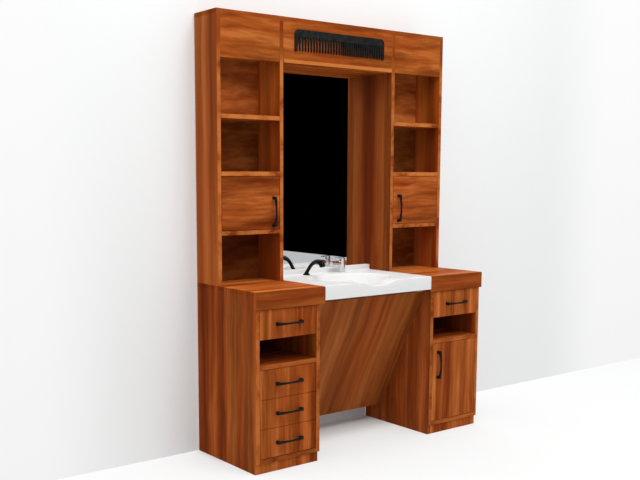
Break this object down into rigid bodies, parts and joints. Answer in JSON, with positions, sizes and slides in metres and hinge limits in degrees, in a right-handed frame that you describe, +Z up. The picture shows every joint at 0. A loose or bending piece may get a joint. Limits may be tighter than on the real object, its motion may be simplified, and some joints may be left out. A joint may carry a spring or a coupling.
{
  "type": "barber wash station",
  "caption": "Barber's wash station for one wall place: mirror alcove between two shelf towers, counter with drop-in basin, mixer and hand spray, pedestals with drawers and cupboard.",
  "frame": {"origin": "on the floor under the middle of the unit's box", "axes": "+Z up, front towards -Y, wall towards +Y, +X to the right of someone facing the mirror"},
  "size_m": [1.41, 0.495, 2],
  "materials": {
    "laminate_upright": "satin wood-grain laminate, grain upright",
    "laminate_level": "satin wood-grain laminate, grain level",
    "laminate_slanted": "satin wood-grain laminate, grain across the slope",
    "carcass_board": "plain laminate of the same colour",
    "drawer_board": "light lining board",
    "basin_white": "gloss white cast mineral",
    "mirror": "silvered glass",
    "chrome": "polished",
    "trap_plastic": "white plastic",
    "spray_black": "gloss black",
    "handle_black": "matt black powder coat",
    "zinc_steel": "zinc plated"
  },
  "bodies": {
    "root": {"back_panels": "laminate_level", "basin": "basin_white", "basin_carriers": "carcass_board", "bottle_trap": "trap_plastic", "counter_aprons": "laminate_level", "counter_frames": "carcass_board", "drawer_runners": "zinc_steel", "header_boards": "laminate_level", "hinge_arms": "zinc_steel", "knee_panel": "laminate_slanted", "left_counter_top": "laminate_level", "left_pedestal_decks": "laminate_level", "left_pedestal_sides": "laminate_upright", "left_tower_shelves": "laminate_level", "left_tower_sides": "laminate_upright", "mirror_backing": "carcass_board", "mirror_glass": "mirror", "mixer_body": "chrome", "pedestal_stretchers": "carcass_board", "plinths": "laminate_upright", "right_counter_top": "laminate_level", "right_pedestal_decks": "laminate_level", "right_pedestal_sides": "laminate_upright", "right_tower_shelves": "laminate_level", "right_tower_sides": "laminate_upright", "spray_holder": "spray_black", "top_board": "laminate_level", "waste_fitting": "chrome"},
    "left_top_drawer": {"left_top_drawer_front": "laminate_upright", "left_top_drawer_box": "drawer_board", "left_top_drawer_handle": "handle_black", "left_top_drawer_sliders": "zinc_steel"},
    "right_top_drawer": {"right_top_drawer_front": "laminate_upright", "right_top_drawer_box": "drawer_board", "right_top_drawer_handle": "handle_black", "right_top_drawer_sliders": "zinc_steel"},
    "upper_drawer": {"upper_drawer_front": "laminate_upright", "upper_drawer_box": "drawer_board", "upper_drawer_handle": "handle_black", "upper_drawer_sliders": "zinc_steel"},
    "lower_drawer": {"lower_drawer_front": "laminate_upright", "lower_drawer_box": "drawer_board", "lower_drawer_handle": "handle_black", "lower_drawer_sliders": "zinc_steel"},
    "bottom_drawer": {"bottom_drawer_front": "laminate_upright", "bottom_drawer_box": "drawer_board", "bottom_drawer_handle": "handle_black", "bottom_drawer_sliders": "zinc_steel"},
    "left_tower_door": {"left_tower_door": "laminate_level", "left_tower_door_hinge_cups": "zinc_steel", "left_tower_door_handle": "handle_black"},
    "right_tower_door": {"right_tower_door": "laminate_level", "right_tower_door_hinge_cups": "zinc_steel", "right_tower_door_handle": "handle_black"},
    "cupboard_door": {"cupboard_door": "laminate_upright", "cupboard_door_hinge_cups": "zinc_steel", "cupboard_door_handle": "handle_black"},
    "mixer_cap": {"mixer_cap": "chrome"},
    "mixer_lever": {"mixer_lever": "chrome"},
    "hand_spray": {"hand_spray": "spray_black"}
  },
  "joints": [
    {"name": "left_top_drawer_slide", "type": "slide", "parent": "root", "child": "left_top_drawer", "axis": [0, -1, 0], "range_m": [0, 0.3]},
    {"name": "right_top_drawer_slide", "type": "slide", "parent": "root", "child": "right_top_drawer", "axis": [0, -1, 0], "range_m": [0, 0.3]},
    {"name": "upper_drawer_slide", "type": "slide", "parent": "root", "child": "upper_drawer", "axis": [0, -1, 0], "range_m": [0, 0.3]},
    {"name": "lower_drawer_slide", "type": "slide", "parent": "root", "child": "lower_drawer", "axis": [0, -1, 0], "range_m": [0, 0.3]},
    {"name": "bottom_drawer_slide", "type": "slide", "parent": "root", "child": "bottom_drawer", "axis": [0, -1, 0], "range_m": [0, 0.3]},
    {"name": "left_tower_door_hinge", "type": "hinge", "parent": "root", "child": "left_tower_door", "pos_m": [-0.683, 0.0675, 1.161], "axis": [0, 0, -1], "range_deg": [0, 110]},
    {"name": "right_tower_door_hinge", "type": "hinge", "parent": "root", "child": "right_tower_door", "pos_m": [0.673, 0.0675, 1.161], "axis": [0, 0, 1], "range_deg": [0, 110]},
    {"name": "cupboard_door_hinge", "type": "hinge", "parent": "root", "child": "cupboard_door", "pos_m": [0.673, -0.2195, 0.2615], "axis": [0, 0, 1], "range_deg": [0, 110]},
    {"name": "mixer_turn", "type": "hinge", "parent": "root", "child": "mixer_cap", "pos_m": [0.108, 0.1765, 0.8643], "axis": [0, 0, 1], "range_deg": [-45, 45]},
    {"name": "lever_lift", "type": "hinge", "parent": "mixer_cap", "child": "mixer_lever", "pos_m": [0.1232, 0.1765, 0.8696], "axis": [0, 1, 0], "range_deg": [0, 25]},
    {"name": "hand_spray_lift", "type": "slide", "parent": "root", "child": "hand_spray", "axis": [0, 0, 1], "range_m": [0, 0.12]}
  ]
}
